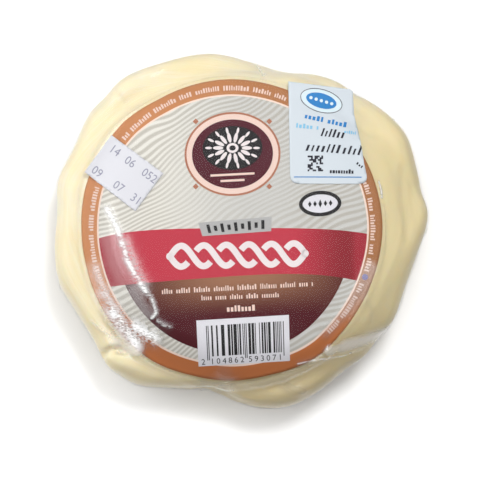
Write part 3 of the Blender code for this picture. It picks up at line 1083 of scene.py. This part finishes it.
stickerSettings = {
    "lift": 0.12 * mm, "thickness": 0.1 * mm, "cut": 3, "stiffness": 24, "gap": 0.8 * mm,
    "hang": 5 * mm,
}
sealOutline = [
    (288.2, 81.6), (320, 85.6), (350, 89.6), (352.6, 91.5), (353.4, 102), (353.9, 114), (356.6, 126),
    (359.6, 138), (362.2, 150), (364, 163), (366.4, 174), (366.8, 178), (366.2, 180.6), (364.6, 182.4),
    (362, 183.4), (358, 183.8), (330, 183.8), (298, 183.6), (294.8, 183), (292.2, 181.4), (290.6, 178.6),
    (290, 175), (289.4, 140), (288.8, 110)]
dateOutline = [(111.4, 135), (163.4, 173.4), (135.4, 211.4), (84.7, 172.2)]


def stiffen(bm):
    # Stiff paper bridges small hollows, and a corner past the rim stands off the flank.
    # Only the distance from the camera is changed, so the outline stays.
    s = stickerSettings
    ray = {v: (v.co - cameraPlace).normalized() for v in bm.verts}
    depth = {v: (v.co - cameraPlace).length for v in bm.verts}
    deepest = float(np.median(list(depth.values()))) + s["hang"]
    limit = {}
    for v in bm.verts:
        reach = filmTree.ray_cast(cameraPlace, ray[v])[3]
        limit[v] = depth[v] = min(reach - s["lift"] if reach else depth[v], deepest)
    for _ in range(s["stiffness"]):
        even = {v: sum(depth[e.other_vert(v)] for e in v.link_edges) / len(v.link_edges) for v in bm.verts}
        for v, most in limit.items():
            depth[v] = min(max((depth[v] + even[v]) / 2, most - s["gap"]), most)
    for v in bm.verts:
        v.co = cameraPlace + ray[v] * depth[v]


def makeSticker(name, outline, material, slotName, node):
    s = stickerSettings
    sheet = bmesh.new()
    addPatch(sheet, outline, 0)
    obj = layInk(sheet, name, filmTree, material, slotName, clear=s["lift"], step=s["cut"])
    bm = bmesh.new()
    bm.from_mesh(obj.data)
    bmesh.ops.triangulate(bm, faces=[f for f in bm.faces if len(f.verts) > 4])
    stiffen(bm)
    bm.to_mesh(obj.data)
    bm.free()
    tree = treeOf(obj)
    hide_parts(node)
    giveBody(obj, s["thickness"])
    return tree


datePaper = paperMaterial("date_paper", (0.72, 0.72, 0.765), 0.06, 0.6, 0.3)
sealPaper = paperMaterial("seal_paper", (0.64, 0.7, 0.75), 0.05, 0.3, 0.5)
dateTree = makeSticker("sticker_date", dateOutline, datePaper, "sticker_paper", "date_sticker")
sealTree = makeSticker("sticker_seal", sealOutline, sealPaper, "sticker_gloss", "seal_sticker")

dateGroups = {"14": (115.2, 150.3), "06": (130.4, 161.8), "052": (149.6, 175.6),
              "09": (97.4, 171.6), "07": (118.8, 186.4), "31": (136.2, 199)}


def drawDatePrint():
    ink = bmesh.new()
    for words, centre in dateGroups.items():
        addNumbers(ink, words, centre, 8.6, 0.03, 36, 0.9)
    layInk(ink, "print_date", dateTree, paperMaterial("ink_date", (0.31, 0.31, 0.4), 0.3), "sticker_paper")


sealPrint = {
    "middle": (321.3, 100.8), "turn": 16, "lift": 0.05 * mm,
    "ovals": (("dots", (20.5, 10.6), 0.03, 48), ("dark", (21.6, 11.6), 0.03, 56, 0.55),
              ("blue", (15.6, 7.4), 0.1, 40)),
    "square": (307.6, 155.6), "dots": 9, "dotSize": (1.72, 1.74), "dotShare": 0.52,
    "foot": [(294, 177), (328, 177), (361.5, 177.2)],
}
# rows of marks: ink, start, end, height, lift, seed, least and most width, gap, gap between groups, lean
sealRows = [
    ("blue", (304.5, 118.2), (344, 127), 5, 0.03, 21, (1.8, 3), 1.5, 3.4),
    ("sky", (296, 127.6), (317, 129.6), 4.6, 0.03, 22, (1.4, 2.6), 1.3),
    ("sky", (344, 133), (355, 134.6), 3, 0.03, 23, (1, 2), 0.8),
    ("dark", (320.5, 136), (341.5, 138.2), 8, 0.05, 24, (1.4, 2.4), 2.2, 3, 0.25),
    ("dark", (305.5, 150.6), (358, 155), 8.4, 0.05, 25, (1.5, 2.6), 3, 1, 0.28),
    ("dark", (329.8, 173.2), (354.5, 173.8), 4.2, 0.03, 27, (1.4, 2.4), 0.8, 0.8),
    ("dark", (356, 164), (362, 168.6), 2.6, 0.03, 28, (1.2, 1.8), 1.2),
]
sealColours = {"blue": (0.03, 0.22, 0.55), "sky": (0.25, 0.56, 0.78), "dark": (0.02, 0.02, 0.03),
               "dots": (0.72, 0.85, 0.9)}


def drawSealPrint():
    s = sealPrint
    inks = {name: bmesh.new() for name in sealColours}
    cx, cy = s["middle"]
    for name, size, lift, segments, *band in s["ovals"]:
        addDisc(inks[name], (cx, cy), size, lift, s["turn"], segments, *band)
    for k in range(-2, 3):
        addDisc(inks["dots"], (cx + 5.2 * k, cy + 1.5 * k), (1.7, 1.7), 0.15, 0, 12)
    for name, *row in sealRows:
        addGlyphRow(inks[name], *row)
    draw = random.Random(31)
    wide, high = s["dotSize"]
    for row in range(s["dots"]):
        for column in range(s["dots"]):
            if draw.random() < s["dotShare"]:
                x, y = s["square"][0] + wide * column, s["square"][1] + high * row
                addPatch(inks["dark"], [(x, y), (x + wide, y), (x + wide, y + high), (x, y + high)], 0.03)
    addStroke(inks["blue"], s["foot"], 0.9, 0.03)
    for name, ink in inks.items():
        material = paperMaterial("ink_seal_" + name, sealColours[name])
        layInk(ink, "seal_print_" + name, sealTree, material, "sticker_gloss", s["lift"], 2)


drawDatePrint()
drawSealPrint()
print("stickers laid")


# floor and light

stage = {"floorSize": 6.0, "worldLight": 0.27, "floorColour": colour(0.9, 0.9, 0.905), "floorGlow": 0.52,
         # reach of the painted contact shadow that dims the floor's glow near the pack
         "paintedShadowReach": 0.02}

# round lights: place and width in metres, power in watts, whether they light and whether they mirror
lights = {
    "wide": ((-0.86, 0.1, 0.44), 1.4, 6.9, True, True),
    "high": ((0.18, 0.28, 0.92), 0.26, 5.3, True, False),
    "sheet": ((0.0, 0.25, 0.95), 1.6, 10.0, False, True),
}


def makeStage():
    s = stage
    bm = bmesh.new()
    bmesh.ops.create_grid(bm, x_segments=8, y_segments=8, size=s["floorSize"] / 2)
    floor = pieceFrom(bm, "floor")
    material, tree, surface = startMaterial("pale_floor")
    place = objectPlace(tree)
    seen = addNode(tree, "LightPath").outputs["Is Camera Ray"]
    # only the camera sees the glow, which keeps the floor evenly bright; ambient occlusion dims it under the
    # flanks as a painted contact shadow
    contactShadow = addNode(tree, "AmbientOcclusion", {"Distance": s["paintedShadowReach"]}).outputs["AO"]
    glow = calc("MULTIPLY", calc("POWER", contactShadow, 2.0), s["floorGlow"])
    shine = mapRange(noiseValue(place, 40.0), 0.2, 0.8, 0.75, 0.85)
    feed(surface, {"Base Color": s["floorColour"], "Roughness": shine, "Emission Color": colour(1, 1, 1),
                   "Emission Strength": calc("MULTIPLY", seen, glow)})
    floor.data.materials.append(material)

    world = bpy.data.worlds.new("studio")
    world.use_nodes = True
    feed(world.node_tree.nodes["Background"].inputs, {"Color": colour(1, 1, 1), "Strength": s["worldLight"]})
    scene.world = world

    for name, (place, width, power, shines, mirrors) in lights.items():
        light = bpy.data.lights.new(name, "AREA")
        light.shape = "DISK"
        light.size = width
        light.energy = power
        obj = linkPiece(name, light)
        placeTurned(obj, place, (-Vector(place)).to_track_quat("-Z", "Y"))
        obj.visible_diffuse, obj.visible_glossy = shines, mirrors
    scene.view_settings.view_transform = "Standard"


makeStage()
print("stage set")
